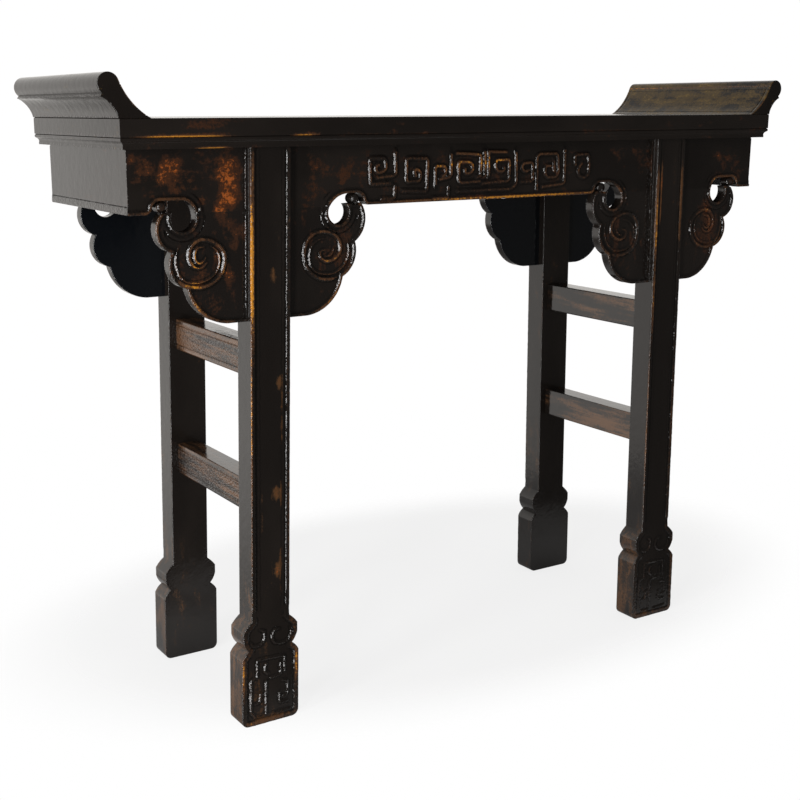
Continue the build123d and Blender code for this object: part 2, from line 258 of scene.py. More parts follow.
# ------------------------------------------------------------------------------ relief
BEAD_AT, BEAD_HALF, BEAD_RISE = 2.6, 2.9, 2.5
BEAD_GROOVE, BEAD_GROOVE_HALF, BEAD_GROOVE_DEPTH = 6.2, 1.6, 1.3
BEAD_ROWS = (2.6, 3.9, 4.8, 5.3, 6.2, 7.0, 7.7, 8.5, 9.6, 10.7, 11.5, 12.6, 14.0)
RING_AT, RING_HALF, RING_RISE = 9.6, 2.0, 2.0  # second ring, inside the bead
RING_GROOVE, RING_GROOVE_DEPTH = 12.6, 0.8
FLANK, FLANK_HALF, FLANK_DEPTH = 1.0, 1.5, 0.9  # groove cut beside each carved ridge
SLOPE = 2.3  # width of a ridge's sloping side


def ridge_form(inset):
    """Share of a ridge's height this far in from its foot: a steep side, then a soft top."""
    share = np.clip(inset / SLOPE, 0, 1)
    return share * (1.42 - 0.42 * share)


def edge_form(gap, middle, foot):
    """The same for a bead along an edge: it falls a little from its middle to the edge."""
    return np.where(gap < middle, 0.8 + 0.2 * gap / middle, ridge_form(foot - gap))


def groove_form(gap, middle, half_width):
    """Share of a groove's depth at this gap from an edge."""
    return smooth(1 - abs(gap - middle) / half_width)


class Carving:
    """Height over a board's face: a bead along its free edges, and carved strokes."""

    def __init__(self, extras, ground=GROUND, bead_edges=None, ring_share=None):
        self.extras = extras
        self.ground = ground
        self.bead_edges = bead_edges
        self.ring_share = ring_share
        self.strokes = []
        self.guides = []

    def stroke(self, path, half_width, height, taper=(0.0, 0.0)):
        """Ridge along a path, thinning out over the taper lengths at its two ends."""
        path = np.asarray(path, float)
        if any(taper):
            path = finer_line(path, 1.5)
            run = np.r_[0, np.cumsum(np.linalg.norm(np.diff(path, axis=0), axis=1))]
            share = np.ones(len(path))
            for length, gap in zip(taper, (run, run[-1] - run)):
                share = np.minimum(share, 0.3 + 0.7 * np.clip(gap / length, 0, 1))
            share = np.round((share[:-1] + share[1:]) / 2 * 8) / 8
            for level in sorted(set(share)):
                self.strokes.append((segments_of(path)[share == level],
                                     half_width * (0.35 + 0.65 * level), height * level))
        else:
            self.strokes.append((segments_of(path), half_width, height))
        fine = finer_line(path, 2.2)
        normal = left_normals(fine, closed=False)
        for share in (0.0, 0.45, -0.45, 0.8, -0.8):
            self.guides.append(fine + normal * half_width * share)
        for gap in (0.3, FLANK + 0.3, FLANK + FLANK_HALF):
            self.guides += [fine + normal * (half_width + gap), fine - normal * (half_width + gap)]

    def busy(self, points):
        """Where the face needs close points: by its strokes and its bead."""
        near = np.zeros(len(points), bool)
        if self.strokes:
            near |= distances(points, np.vstack([s[0] for s in self.strokes])) < 6.0
        if self.bead_edges is not None:
            near |= distances(points, self.bead_edges) < 16.0
        return near

    def __call__(self, points):
        """Heights, crests and grooves at the points; the grooves also carry a painted shade."""
        points = np.asarray(points, float)
        ridge, crest, groove = np.zeros((3, len(points)))
        for segments, half, rise in self.strokes:
            ends = segments.reshape(-1, 2)
            reach = half + FLANK + FLANK_HALF
            near = np.all((points >= ends.min(0) - reach) & (points <= ends.max(0) + reach), axis=1)
            if not near.any():
                continue
            gap = distances(points[near], segments)
            form = ridge_form(half - gap) / ridge_form(half)
            ridge[near] = np.maximum(ridge[near], form * rise)
            crest[near] = np.maximum(crest[near], smooth(form * 2.4 - 1.3))
            cut = groove_form(gap, half + FLANK, FLANK_HALF)
            groove[near] = np.maximum(groove[near], cut)
        groove = groove * (ridge < 0.2)
        height = self.ground + ridge - FLANK_DEPTH * groove
        if self.bead_edges is not None:
            gap = distances(points, self.bead_edges)
            ring = self.ring_share(points)
            bands = [(edge_form(gap, BEAD_AT, BEAD_AT + BEAD_HALF), BEAD_RISE,
                      groove_form(gap, BEAD_GROOVE, BEAD_GROOVE_HALF), BEAD_GROOVE_DEPTH),
                     (ridge_form((RING_HALF - abs(gap - RING_AT)) * 1.15) * ring, RING_RISE,
                      groove_form(gap, RING_GROOVE, BEAD_GROOVE_HALF) * ring, RING_GROOVE_DEPTH)]
            for form, rise, cut, depth in bands:
                height = np.maximum(height, self.ground + rise * form)
                height = height - depth * cut * (ridge < 0.3)
                crest = np.maximum(crest, smooth(form * 1.6 - 0.6))
                groove = np.maximum(groove, cut)
        for extra in self.extras:
            height, crest, groove = extra(points, height, crest, groove)
        return height, crest, groove


# ---------------------------------------------------------------------------- materials
class Nodes:
    """Short ways to add and link the shader nodes of a material or world."""

    def __init__(self, owner):
        owner.use_nodes = True
        self.tree = owner.node_tree
        self.tree.nodes.clear()

    def add(self, kind, inputs=None, **settings):
        node = self.tree.nodes.new(kind)
        for key, value in settings.items():
            setattr(node, key, value)
        for key, value in (inputs or {}).items():
            if isinstance(value, bpy.types.NodeSocket):
                self.tree.links.new(value, node.inputs[key])
            else:
                node.inputs[key].default_value = value
        return node

    def math(self, operation, a, b, clamp=False):
        return self.add("ShaderNodeMath", {0: a, 1: b}, operation=operation,
                        use_clamp=clamp).outputs[0]

    def times(self, a, b):
        return self.math("MULTIPLY", a, b)

    def plus(self, first, *others):
        for other in others:
            first = self.math("ADD", first, other)
        return first

    def swing(self, value, share):
        """A texture's value as a swing about nought."""
        return self.times(self.math("SUBTRACT", value, 0.5), share)

    def ramp(self, value, low, high, start=0.0, end=1.0):
        return self.add("ShaderNodeMapRange",
                        {"Value": value, "From Min": low, "From Max": high,
                         "To Min": start, "To Max": end},
                        interpolation_type="SMOOTHSTEP").outputs[0]

    def noise(self, vector, scale, detail, roughness=0.6, distortion=0.0):
        return self.add("ShaderNodeTexNoise",
                        {"Vector": vector, "Scale": scale, "Detail": detail,
                         "Roughness": roughness, "Distortion": distortion}).outputs["Fac"]

    def mix(self, factor, a, b):
        return self.add("ShaderNodeMix", {0: factor, 6: a, 7: b}, data_type="RGBA").outputs[2]

    def stretched(self, vector, scale, shift=(0, 0, 0)):
        return self.add("ShaderNodeMapping", {"Vector": vector, "Scale": scale,
                                              "Location": shift}).outputs[0]


def rgba(colour, share=1.0):
    return (*(value * share for value in colour), 1.0)


BLACK, BROWN, ORANGE = (0.0062, 0.0048, 0.004), (0.03, 0.0118, 0.0056), (0.21, 0.052, 0.0075)
OCHRE, TAN = (0.34, 0.14, 0.014), (0.06, 0.027, 0.012)  # wood and thin lacquer on the edges
INNER = (0.003, 0.0036, 0.0046)  # cold black of the faces that look inward


def lacquer(name, grain, shift, black=BLACK, brown=BROWN, orange=ORANGE, age=0.0, wear=0.3,
            rough=(0.07, 0.2), ior=1.5, drawn=0.45, mottle=1.3, streaks=0.4, cuts=7.0):
    """Old dark lacquer over wood: blotches, streaks along the grain, rubbed edges.

    The mesh's "dress" gives the raised edges (red), the worn places (green), the grooves
    (blue), which get a painted shade, and the inner faces (alpha).
    """
    material = bpy.data.materials.new(name)
    n = Nodes(material)
    place = n.stretched(n.add("ShaderNodeTexCoord").outputs["Object"], (1, 1, 1), shift)
    fibre, patch = (n.stretched(place, [share if axis == grain else 1.0 for axis in range(3)])
                    for share in (0.06, drawn))
    blotch = n.noise(patch, 8.0, 3.0)
    middle = n.noise(patch, 60.0, 5.0, distortion=0.3)
    fine = n.noise(place, 260.0, 3.0)
    streak = n.noise(fibre, 150.0, 4.0)
    dash = n.noise(fibre, 45.0, 3.0)
    speck = n.noise(place, 420.0, 2.0)
    dress = n.add("ShaderNodeAttribute", attribute_name="dress").outputs
    crest, warm, groove = n.add("ShaderNodeSeparateColor", {"Color": dress["Color"]}).outputs

    colour = n.mix(n.ramp(blotch, 0.35, 0.7), rgba(black), rgba(black, 1.6))
    score = n.plus(n.times(warm, 0.62), n.swing(middle, mottle), n.swing(fine, mottle * 0.5),
                   n.swing(blotch, 0.8), n.swing(streak, streaks), age)
    colour = n.mix(n.ramp(score, 0.18, 0.48), colour, rgba(brown))
    bare = n.times(n.ramp(n.plus(score, n.swing(speck, 0.8)), 0.5, 0.8), n.ramp(warm, 0.35, 0.6))
    hot = n.mix(n.ramp(n.plus(speck, n.swing(middle, 1.0)), 0.35, 0.7),
                rgba(orange, 0.3), rgba(orange))
    colour = n.mix(bare, colour, hot)
    rub = n.plus(n.times(crest, wear), n.swing(dash, 0.9), n.swing(fine, 0.5),
                 n.times(warm, 0.4))
    tanned = n.times(n.ramp(rub, 0.28, 0.62), n.ramp(crest, 0.25, 0.8))
    colour = n.mix(tanned, colour, rgba(TAN))
    rubbed = n.times(n.ramp(rub, 0.6, 0.7), n.ramp(crest, 0.55, 0.9))
    colour = n.mix(rubbed, colour, rgba(OCHRE))
    # painted shade: the grooves are darkened to below the lacquer's own black
    colour = n.mix(n.times(groove, 0.85), colour, rgba(black, 0.3))
    colour = n.mix(dress["Alpha"], colour, rgba(INNER))

    gloss = n.ramp(n.plus(n.times(middle, 0.6), n.times(fine, 0.4)), 0.35, 0.68, *rough)
    gloss = n.plus(gloss, n.times(bare, 0.1))
    chatter = n.times(n.swing(n.noise(place, 330.0, 1.0, 0.5), 1.0),
                      n.math("ADD", crest, groove, clamp=True))
    relief = n.plus(n.noise(place, 85.0, 2.0, 0.5), n.times(streak, 0.3), n.times(fine, 0.22),
                    n.times(bare, -0.2), n.times(chatter, cuts))
    bumped = n.add("ShaderNodeBump", {"Strength": 0.3, "Distance": 0.0008, "Height": relief})
    shader = n.add("ShaderNodeBsdfPrincipled",
                   {"Base Color": colour, "Roughness": gloss, "IOR": ior,
                    "Normal": bumped.outputs[0]})
    n.add("ShaderNodeOutputMaterial", {"Surface": shader.outputs[0]})
    return material


LACQUERS = {
    "lacquer_top": dict(grain=0, shift=(0.3, 0.1, 0.0), wear=0.5),
    "lacquer_end": dict(grain=1, shift=(1.7, 0.4, 0.2), brown=(0.055, 0.034, 0.01),
                        orange=(0.15, 0.09, 0.016), age=0.05, ior=1.4),
    "lacquer_apron": dict(grain=0, shift=(0.9, 2.1, 0.5), drawn=0.95, wear=0.38),
    "lacquer_apron_end": dict(grain=1, shift=(0.2, 1.1, 2.5)),
    "lacquer_spandrel": dict(grain=2, shift=(2.3, 0.7, 1.9), ior=1.6),
    "lacquer_leg": dict(grain=2, shift=(0.6, 1.3, 0.8), brown=(0.058, 0.027, 0.011), ior=1.52,
                        cuts=6.0, mottle=0.85),
    "lacquer_stretcher": dict(grain=1, shift=(3.1, 0.2, 1.4), brown=(0.07, 0.034, 0.016),
                              age=0.26, ior=1.6, drawn=0.2, mottle=0.7, streaks=0.9),
    "underside_wood": dict(grain=1, shift=(0.5, 3.2, 0.6), black=(0.02, 0.011, 0.007),
                           brown=(0.045, 0.024, 0.012), age=0.2, rough=(0.45, 0.7)),
}
MATERIALS = {name: lacquer(name, **settings) for name, settings in LACQUERS.items()}


# ----------------------------------------------------------------------- pieces of mesh
def new_object(name, data):
    made = bpy.data.objects.new(name, data)
    bpy.context.scene.collection.objects.link(made)
    return made


def finish_piece(name, co, faces, dress, slot, nodes, material=None):
    """Mesh object from points and faces, with even normals, riding on the table."""
    mesh = bpy.data.meshes.new(name)
    mesh.from_pydata([tuple(p) for p in np.asarray(co)], [], faces)
    attribute = mesh.attributes.new("dress", "FLOAT_COLOR", "POINT")
    dress = np.hstack([dress, np.zeros((len(dress), 4 - dress.shape[1]))])
    attribute.data.foreach_set("color", dress.astype(np.float32).ravel())
    work = bmesh.new()
    work.from_mesh(mesh)
    bmesh.ops.dissolve_degenerate(work, edges=work.edges, dist=1e-7)
    bmesh.ops.recalc_face_normals(work, faces=work.faces)
    work.to_mesh(mesh)
    work.free()
    piece = new_object(name, mesh)
    mesh.shade_smooth()
    mesh.set_sharp_from_angle(angle=radians(50))
    piece.modifiers.new("even_normals", "WEIGHTED_NORMAL").keep_sharp = True
    graph = bpy.context.evaluated_depsgraph_get()
    smoothed = bpy.data.meshes.new_from_object(piece.evaluated_get(graph))
    piece.modifiers.clear()
    piece.data = smoothed
    smoothed.materials.clear()
    smoothed.materials.append(MATERIALS[material or slot])
    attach(piece, "root")
    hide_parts(*nodes)


def face_outline(node, axis, sign):
    """Largest outline of a node's outermost flat face along an axis."""
    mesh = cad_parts[node].data
    place = np.round(np.array([v.co for v in mesh.vertices]) / MM, 3)
    others = [i for i in range(3) if i != axis]
    limit = (place[:, axis] * sign).max()
    edges = {}  # those of the face's triangles that no second triangle shares
    for polygon in mesh.polygons:
        corners = [place[i] for i in polygon.vertices]
        if all(abs(c[axis] * sign - limit) < 0.01 for c in corners):
            flat = [tuple(c[others]) for c in corners]
            for a, b in zip(flat, flat[1:] + flat[:1]):
                if (b, a) in edges:
                    del edges[(b, a)]
                else:
                    edges[(a, b)] = True
    following = dict(edges.keys())
    loops = []
    while following:
        first = next(iter(following))
        loop, point = [first], following.pop(first)
        while point != first:
            loop.append(point)
            point = following.pop(point)
        loops.append(np.array(loop))
    return max(loops, key=lambda loop: abs(area_of(loop)))


def triangles(loop, inner):
    """Triangles that fill the outline and use the inner points."""
    points = np.vstack([loop, inner])
    count = len(loop)
    found = delaunay_2d_cdt([Vector(p) for p in points], [], [list(range(count))], 1, 1e-5, True)
    order = {}
    for new, olds in enumerate(found[3]):
        for old in olds:
            order.setdefault(old, new)
    place = np.array([list(p) for p in found[0]])
    faces = [tuple(f) for f, owners in zip(found[2], found[5]) if owners]
    return place, faces, [order[i] for i in range(count)]


def arris_fall(gap, radius):
    """How far a rounded arris falls back, at a gap from its edge."""
    short = radius - np.clip(gap, 0, radius)
    return radius - np.sqrt(np.maximum(radius ** 2 - short ** 2, 0))


OUTLINE_STEP = 3.0  # longest segment of a board's outline
MESH_STEP, PLAIN_STEP, BACK_STEP = 3.2, 12.0, 24.0  # over carving, plain ground, the back
EASED_ROWS = (0.3, 0.75, 1.3)  # rows over an arris, in shares of its rounding
SIDE_ROWS = [2.4, 3.4]  # rows round the sides, in from the face and from the back
ARRIS_WEAR = 1.8  # wear reaches this far in from an arris


def board(name, loop, axis, sign, face, back, carving, slot, nodes, free, material=None,
          inner=None, rounding=1.1, warm=None, side_warm=None, back_warm=None, mitre=None,
          wobble=0.45):
    """Carved board between two depths: relief on its outward face, plain behind.

    inner holds points that its face uses instead of a grid, and mitre is its half-length at
    the face, from where the ends run inwards at 45 degrees.
    """
    loop = finer(np.asarray(loop, float), OUTLINE_STEP)
    count = len(loop)
    free_edges = outline_where(loop, free)
    normal = left_normals(loop)
    lot, rim = Thinned(loop), Thinned(loop)
    offsets = [rounding * share for share in EASED_ROWS]
    offsets += BEAD_ROWS if carving.bead_edges is not None else ()
    for offset in offsets:
        ring = loop + normal * offset
        ring = ring[inside(ring, loop, offset * 0.93)]
        if offset > 2:
            ring = ring[abs(distances(ring, carving.bead_edges) - offset) < 0.15]
        lot.add(ring, min(0.25 * offset + 0.15, 1.3))
        if offset < 2:
            rim.add(ring, 0.25 * offset + 0.15)

    def grid(step, margin):
        points = hex_grid(loop.min(0), loop.max(0), step)
        return points[inside(points, loop, margin)]

    if inner is not None:
        lot.add(inner, 0.3)
    if carving.guides:
        guides = np.vstack(carving.guides)
        lot.add(guides[inside(guides, loop, rounding * 1.6)], 0.75)
    if inner is None:
        close = grid(MESH_STEP, 2.0)
        lot.add(close[carving.busy(close)], MESH_STEP * 0.62)
        lot.add(grid(PLAIN_STEP, 3.0), MESH_STEP * 1.3)
    rim.add(grid(BACK_STEP, 4.0), 3.0)
    front, front_faces, front_ring = triangles(loop, np.array(lot.points[count:]))
    behind, behind_faces, behind_ring = triangles(loop, np.array(rim.points[count:]))

    height, crest, groove = carving(front)
    uneven = np.maximum(0.6 * smooth(2 * crest), smooth(2 * groove))
    height = height + wobble * lumps(front, 3.4, 3.7) * uneven
    height = height + 0.08 * lumps(front, 18.0, 8.1)
    side_depths = [face - row for row in SIDE_ROWS] + [back + row for row in SIDE_ROWS[::-1]]
    sides = np.tile(loop, (len(side_depths), 1))
    gap, behind_gap = distances(front, free_edges), distances(behind, free_edges)
    u, v = np.vstack([front, behind, sides]).T
    w = np.concatenate([face + height - arris_fall(gap, rounding),
                        back + arris_fall(behind_gap, rounding), np.repeat(side_depths, count)])
    if mitre is not None:
        limit = mitre - np.maximum(face - w, 0)
        u = np.clip(u, -limit, limit)
    co = np.stack([u, sign * w, v] if axis == 1 else [sign * w, u, v], axis=1) * MM
    shift = len(front)
    faces = front_faces + [tuple(shift + i for i in reversed(f)) for f in behind_faces]
    rings = [front_ring]
    rings += [[shift + len(behind) + j * count + i for i in range(count)]
              for j in range(len(side_depths))]
    rings.append([shift + i for i in behind_ring])
    for near, far in zip(rings, rings[1:]):
        for i in range(count):
            k = (i + 1) % count
            faces.append((near[k], near[i], far[i], far[k]))
    near_free = distances(loop, free_edges) < 0.5
    side_crest = np.concatenate([share * near_free * 0.55 for share in (1.0, 0.0, 0.0, 0.5)])
    none, behind_none, side_none = (np.zeros(len(points)) for points in (front, behind, sides))
    dress = np.stack([
        np.concatenate([np.maximum(crest, smooth(1 - gap / ARRIS_WEAR)),
                        smooth(1 - behind_gap / ARRIS_WEAR), side_crest]),
        np.concatenate([none if warm is None else warm(front),
                        behind_none if back_warm is None else back_warm(behind),
                        side_none if side_warm is None else side_warm(sides)]),
        # blue: the grooves, which the lacquer darkens as painted shade
        np.concatenate([groove, behind_none, side_none]),
        np.concatenate([none, behind_none + (back_warm is None), side_none]),
    ], axis=1)
    finish_piece(name, co, faces, dress, slot, nodes, material)


def prism(profile, limits, stations, along, sign, corners, top_joint=0.0):
    """Points, faces and dress of a moulding swept between two (mitred) ends.

    profile is a closed outline of (outward, z), limits its half-length at each point, and
    stations run from -1 to 1. top_joint lowers the ends of the surface by as much, so that
    the joint shows.
    """
    profile, limits = np.asarray(profile, float), np.asarray(limits, float)
    rows, columns = len(profile), len(stations)
    length = limits[:, None] * np.asarray(stations)[None]
    out = np.repeat(profile[:, :1], columns, axis=1) * sign
    z = np.repeat(profile[:, 1:], columns, axis=1)
    if top_joint:
        ends = np.abs(np.asarray(stations))[None] > 0.99999
        z = z - top_joint * (ends & (z > SURFACE - 0.01))
    co = np.stack((length, out, z) if along == 0 else (out, length, z), axis=2)
    index = np.arange(rows * columns).reshape(rows, columns).tolist()
    faces = []
    for near, far in zip(index, index[1:] + index[:1]):
        faces += [(near[j], far[j], far[j + 1], near[j + 1]) for j in range(columns - 1)]
    faces.append(tuple(row[0] for row in index))
    faces.append(tuple(row[-1] for row in reversed(index)))
    near_corner = np.min([np.linalg.norm(profile - np.array(c), axis=1) for c in corners], axis=0)
    crest = smooth(1.3 - near_corner / 1.5)[:, None] * np.ones(columns)
    dress = np.stack([crest, np.zeros_like(crest), np.zeros_like(crest)], axis=2)
    return co, faces, dress


def capped(co, faces, dress):
    """The swept shell with its two end faces filled round an inset line, without wear."""
    rows, columns = co.shape[:2]
    points, marks = co.reshape(-1, 3), dress.reshape(-1, 3)
    faces = faces[:-2]
    for j in (0, columns - 1):
        ring = np.arange(rows) * columns + j
        if area_of(points[ring][:, [0, 2]]) < 0:
            ring = ring[::-1]
        loop = points[ring][:, [0, 2]]
        lot = Thinned(loop)
        for offset in (0.9, 2.0, 4.0, 7.0):
            inset = loop + left_normals(loop) * offset
            lot.add(inset[inside(inset, loop, offset * 0.9)], 0.5 * offset)
        place, filled, order = triangles(loop, np.array(lot.points[rows:]))
        known = {new: int(ring[i]) for i, new in enumerate(order)}
        extra = [i for i in range(len(place)) if i not in known]
        known.update({i: len(points) + k for k, i in enumerate(extra)})
        faces += [tuple(known[i] for i in f) for f in filled]
        depth = points[ring[0], 1]
        wear = 0.7 * smooth(1 - distances(place[extra], segments_of(loop, True)) / 1.5)
        points = np.vstack([points, [(x, depth, z) for x, z in place[extra]]])
        marks = np.vstack([marks, [(w, 0, 0) for w in wear]])
    return points, faces, marks


def join(name, shells, slot, nodes):
    """One piece from several closed shells."""
    co, faces, dress, count = [], [], [], 0
    for points, polygons, marks in shells:
        co.append(points.reshape(-1, 3) * MM)
        dress.append(marks.reshape(-1, 3))
        faces += [tuple(i + count for i in f) for f in polygons]
        count += len(co[-1])
    finish_piece(name, np.vstack(co), faces, np.vstack(dress), slot, nodes)


# -------------------------------------------------------------- top frame and its ends
def rail_profile(face, inner):
    """Section of a rail: up the moulding of its outward face, over the top, down inside."""
    points = [(face - 4.5, UNDERSIDE)]
    points += arc_points((face - 4.5, 815.0), (face - 2.2, 821.5), -1.2, 4)
    points += arc_points((face - 2.2, 821.5), (face - 2.2, 827.0), 2.2, 8)
    points += [(face - 2.2, 827.3), (face - 0.5, 827.05), (face, 827.7), (face, 833.0),
               (face, 840.0), (face, 848.3), (face - 0.5, 849.5)]
    points += [(face - gap, SURFACE) for gap in (1.7, 6, 25, 50)]
    return points + [(inner + 1.2, SURFACE), (inner + 0.3, 849.7), (inner, 848.8),
                     (inner, UNDERSIDE)]


def stations(length, step, close=(0.0, 0.5, 1.2, 2.4, 4.5, 8.0)):
    """Stations from -1 to 1, close together at both ends."""
    near = [1 - gap / length for gap in close]
    inner = np.linspace(-near[-1], near[-1], int(2 * length / step) + 1)
    return [-s for s in near[:-1]] + list(inner) + near[-2::-1]


RAIL_CORNERS = [(0, 827.7), (-4.5, UNDERSIDE), (-4.5, 815)]
TOP_JOINT = 0.35  # depth of the joints that show on the surface
RAIL_WEAR = 0.35  # wear of a rail's edges outside its worn places


def rail(face, inner, half_length, step, along, sign):
    """Mitred rail of the top frame."""
    profile = rail_profile(face, inner)
    limits = [out - face + half_length for out, _ in profile]
    corners = [(face + out, z) for out, z in RAIL_CORNERS]
    return prism(profile, limits, stations(half_length, step), along, sign, corners, TOP_JOINT)


# Worn places of the front rail: X, Z, half-width, half-height, strength
RAIL_SPOTS = [(-488, 827, 68, 1.3, 1.0), (-315, 827, 22, 1.3, 0.9), (-140, 827, 140, 1.3, 0.4),
              (-448, 813, 26, 1.8, 0.8), (-462, 842, 30, 3.5, 0.5), (-420, 849, 50, 1.6, 0.3),
              (250, 827, 120, 1.3, 0.2)]

for face, sign in FACES.items():
    shell = rail(FRAME_FACE, INNER_FACE, FRAME_END, 14.0, 0, sign)
    place = shell[0] * (-sign, 1, 1)
    worn = np.zeros(place.shape[:2])
    for x, z, wide, high, strength in RAIL_SPOTS:
        spot = np.exp(-((place[:, :, 0] - x) / wide) ** 4 - ((place[:, :, 2] - z) / high) ** 2)
        worn = np.maximum(worn, strength * spot * (place[:, :, 1] * -1 > FRAME_FACE - 8))
    shell[2][:, :, 0] *= RAIL_WEAR + (1 - RAIL_WEAR) * worn
    shell[2][:, :, 1] = worn
    join(f"rail_{face}", [shell], "lacquer_top", [f"top_{face}_rail"])


def on_roll(angle, step=0.0):
    return (ROLL_CENTRE[0] + (ROLL_RADIUS + step) * cos(radians(angle)),
            ROLL_CENTRE[1] + (ROLL_RADIUS + step) * sin(radians(angle)))


def scored(points, places, half_width=0.9, depth=0.7):
    """The path with small grooves pushed in to its left at these distances along it."""
    points = np.asarray(points, float)
    steps = np.r_[0, np.cumsum(np.linalg.norm(np.diff(points, axis=0), axis=1))]
    wanted = set(np.linspace(0, steps[-1], 14))
    for place in places:
        wanted = {s for s in wanted if abs(s - place) > half_width * 1.8}
        wanted |= {place - half_width, place, place + half_width}
    out, marks = [], []
    for s in sorted(wanted):
        p, ahead, behind = (np.array([np.interp(s + gap, steps, points[:, i]) for i in (0, 1)])
                            for gap in (0.0, 0.5, -0.5))
        direction = (ahead - behind) / max(np.linalg.norm(ahead - behind), 1e-9)
        cut = any(abs(s - place) < 1e-6 for place in places)
        out.append(p + np.array([-direction[1], direction[0]]) * depth * cut)
        marks.append(cut)
    return out, marks


# The flange's section: lip, cove, roll, and the slope down to the surface
cove_head = on_roll(ROLL_ANGLES[0], ROLL_NOTCH)
roll_end = on_roll(ROLL_ANGLES[1])
outer_cove = arc_points((FRAME_END + 1, 850.6), cove_head, -3.8, 12)
roll = [on_roll(a) for a in np.linspace(*ROLL_ANGLES, 30)]
slope, slope_cuts = scored(arc_points(roll_end, (SWEEP_FOOT, SURFACE), -5.4, 30), (5.5, 55.0))
flange = [(FRAME_END + 0.4, SURFACE)] + outer_cove[:-1]
flange += [(cove_head[0] - 0.3, cove_head[1] - 0.5), (cove_head[0] - 0.6, cove_head[1] + 0.3)]
slope_start = len(flange) + len(roll)
flange += roll + [tuple(p) for p in slope[1:]]
FLANGE_CORNERS = [(FRAME_END + 1, 850.6), cove_head, roll_end]
FLANGE_ARRIS = 1.2  # rounding along the flange's two end faces
END_GROOVE, END_GROOVE_DEPTH = 6.9, 0.7  # groove down the slope, in from each end face
END_CLOSE = (0.0, 0.25, 0.7, 1.3, 3.0, 6.0, END_GROOVE, 7.8, 10.0)
FLANGE_WARMTH = 0.55

for side, sign in SIDES.items():
    frame_shell = rail(FRAME_END, INNER_END, FRAME_FACE, 12.0, 1, sign)
    frame_shell[2][:, :, 0] *= RAIL_WEAR
    lengths = stations(FRAME_FACE, 12.0, END_CLOSE)
    co, faces, dress = prism(flange, [FRAME_FACE] * len(flange), lengths, 1, sign, FLANGE_CORNERS)
    gap = FRAME_FACE - np.abs(np.array(lengths)) * FRAME_FACE
    inward = left_normals(np.asarray(flange))
    above = np.array([p[1] > SURFACE + 1.0 for p in flange])
    fall = arris_fall(gap, FLANGE_ARRIS)
    pull = inward[:, None, :] * fall[None, :, None] * above[:, None, None]
    rows = slice(slope_start, len(flange) - 1)
    # the groove channel marks these cuts for the lacquer's painted shade
    for j in np.where(abs(gap - END_GROOVE) < 0.01)[0]:
        pull[rows, j] += inward[rows] * END_GROOVE_DEPTH
        dress[rows, j, 2] = 1.0
    co[:, :, 0] += pull[:, :, 0] * sign
    co[:, :, 2] += pull[:, :, 1]
    dress[slope_start - 6:, :, 1] = FLANGE_WARMTH
    # the slope's scored lines get the same painted shade
    for i, cut in enumerate(slope_cuts[1:]):
        if cut:
            dress[slope_start + i, :, 2] = 1.0
    dress[:, :, 0] = np.maximum(dress[:, :, 0], 0.7 * smooth(1.2 - gap / 1.6)[None])
    shell = capped(co, faces, dress)
    join(f"everted_{side}", [frame_shell, shell], "lacquer_end", [f"everted_end_{side}"])

# ----------------------------------------------------------------- panel and battens
panel_profile = [(INNER_FACE, 836.0), (INNER_FACE, 849.0), (INNER_FACE - 0.3, 849.7),
                 (INNER_FACE - 1.1, SURFACE)]
panel_profile += [(y, SURFACE) for y in np.linspace(80, -80, 17)]
panel_profile += [(-a, z) for a, z in panel_profile[3::-1]]
ends = [INNER_END - 0.02] * len(panel_profile)
shell = prism(panel_profile, ends, stations(INNER_END, 25.0), 0, 1, [(INNER_FACE, SURFACE)])
co = shell[0]
gap = np.abs(np.abs(co[:, :, 0]) - INNER_END)
co[:, :, 2] -= np.where(co[:, :, 2] > 849.9, TOP_JOINT * smooth(1 - gap / 1.2), 0)
join("panel", [shell], "lacquer_top", ["top_panel"])

for number, x in enumerate((-330.0, 0.0, 330.0), start=1):
    profile = [(x - 13.5, 816.0), (x + 13.5, 816.0), (x + 15, 817.5), (x + 15, 835.9),
               (x - 15, 835.9), (x - 15, 817.5)]
    shell = prism(profile, [INNER_FACE] * 6, stations(INNER_FACE, 20.0), 1, 1,
                  [(x - 15, 816), (x + 15, 816)])
    join(f"batten_{number}", [shell], "underside_wood", [f"panel_batten_{number}"])

# ------------------------------------------------------------------------ stretchers
for level, height in (("upper", 526.0), ("lower", 331.0)):
    for side, sign in SIDES.items():
        x = leg_axis(height)
        out, low, high = x + 18.0, height - 23.5, height + 23.5
        outline = [(x - 18, low), (out, low)]
        for z, turn in ((low + 8.5, 1), (high - 8.5, -1)):
            outline += [(out, z - 1.0), (out - 1.2, z - 0.35), (out - 1.2, z + 0.35),
                        (out, z + 1.0)]
        outline += [(out, high), (x - 18, high)]
        radii = [2.5] * 2 + [0.3] * 8 + [2.5] * 2
        profile = rounded_path(outline, radii, 3, closed=True)
        corners = [(x - 18, low), (out, low), (out, high), (x - 18, high)]
        corners += [(out, low + 7.5), (out, low + 9.5), (out, high - 7.5), (out, high - 9.5)]
        shell = prism(profile, [LEG_BACK + 1.0] * len(profile), stations(LEG_BACK, 10.0), 1,
                      sign, corners)
        join(f"rung_{side}_{level}", [shell], "lacquer_stretcher",
             [f"stretcher_{side}_{level}"])


# ------------------------------------------------------ aprons and cloud spandrels
def on_board(side, kind):
    """Points given as (reach, rise) from a spandrel's fork, as X and Z."""
    def place(points):
        points = np.asarray(points, float)
        x = SIDES[side] * (FORK_MIDDLE + REACHES[kind] * points[:, 0])
        return np.stack([x, APRON_BOTTOM + points[:, 1]], axis=1)
    return place


def below_top(x, z):
    """Whether a place on an outline is clear of the top frame."""
    return z < UNDERSIDE - 0.05


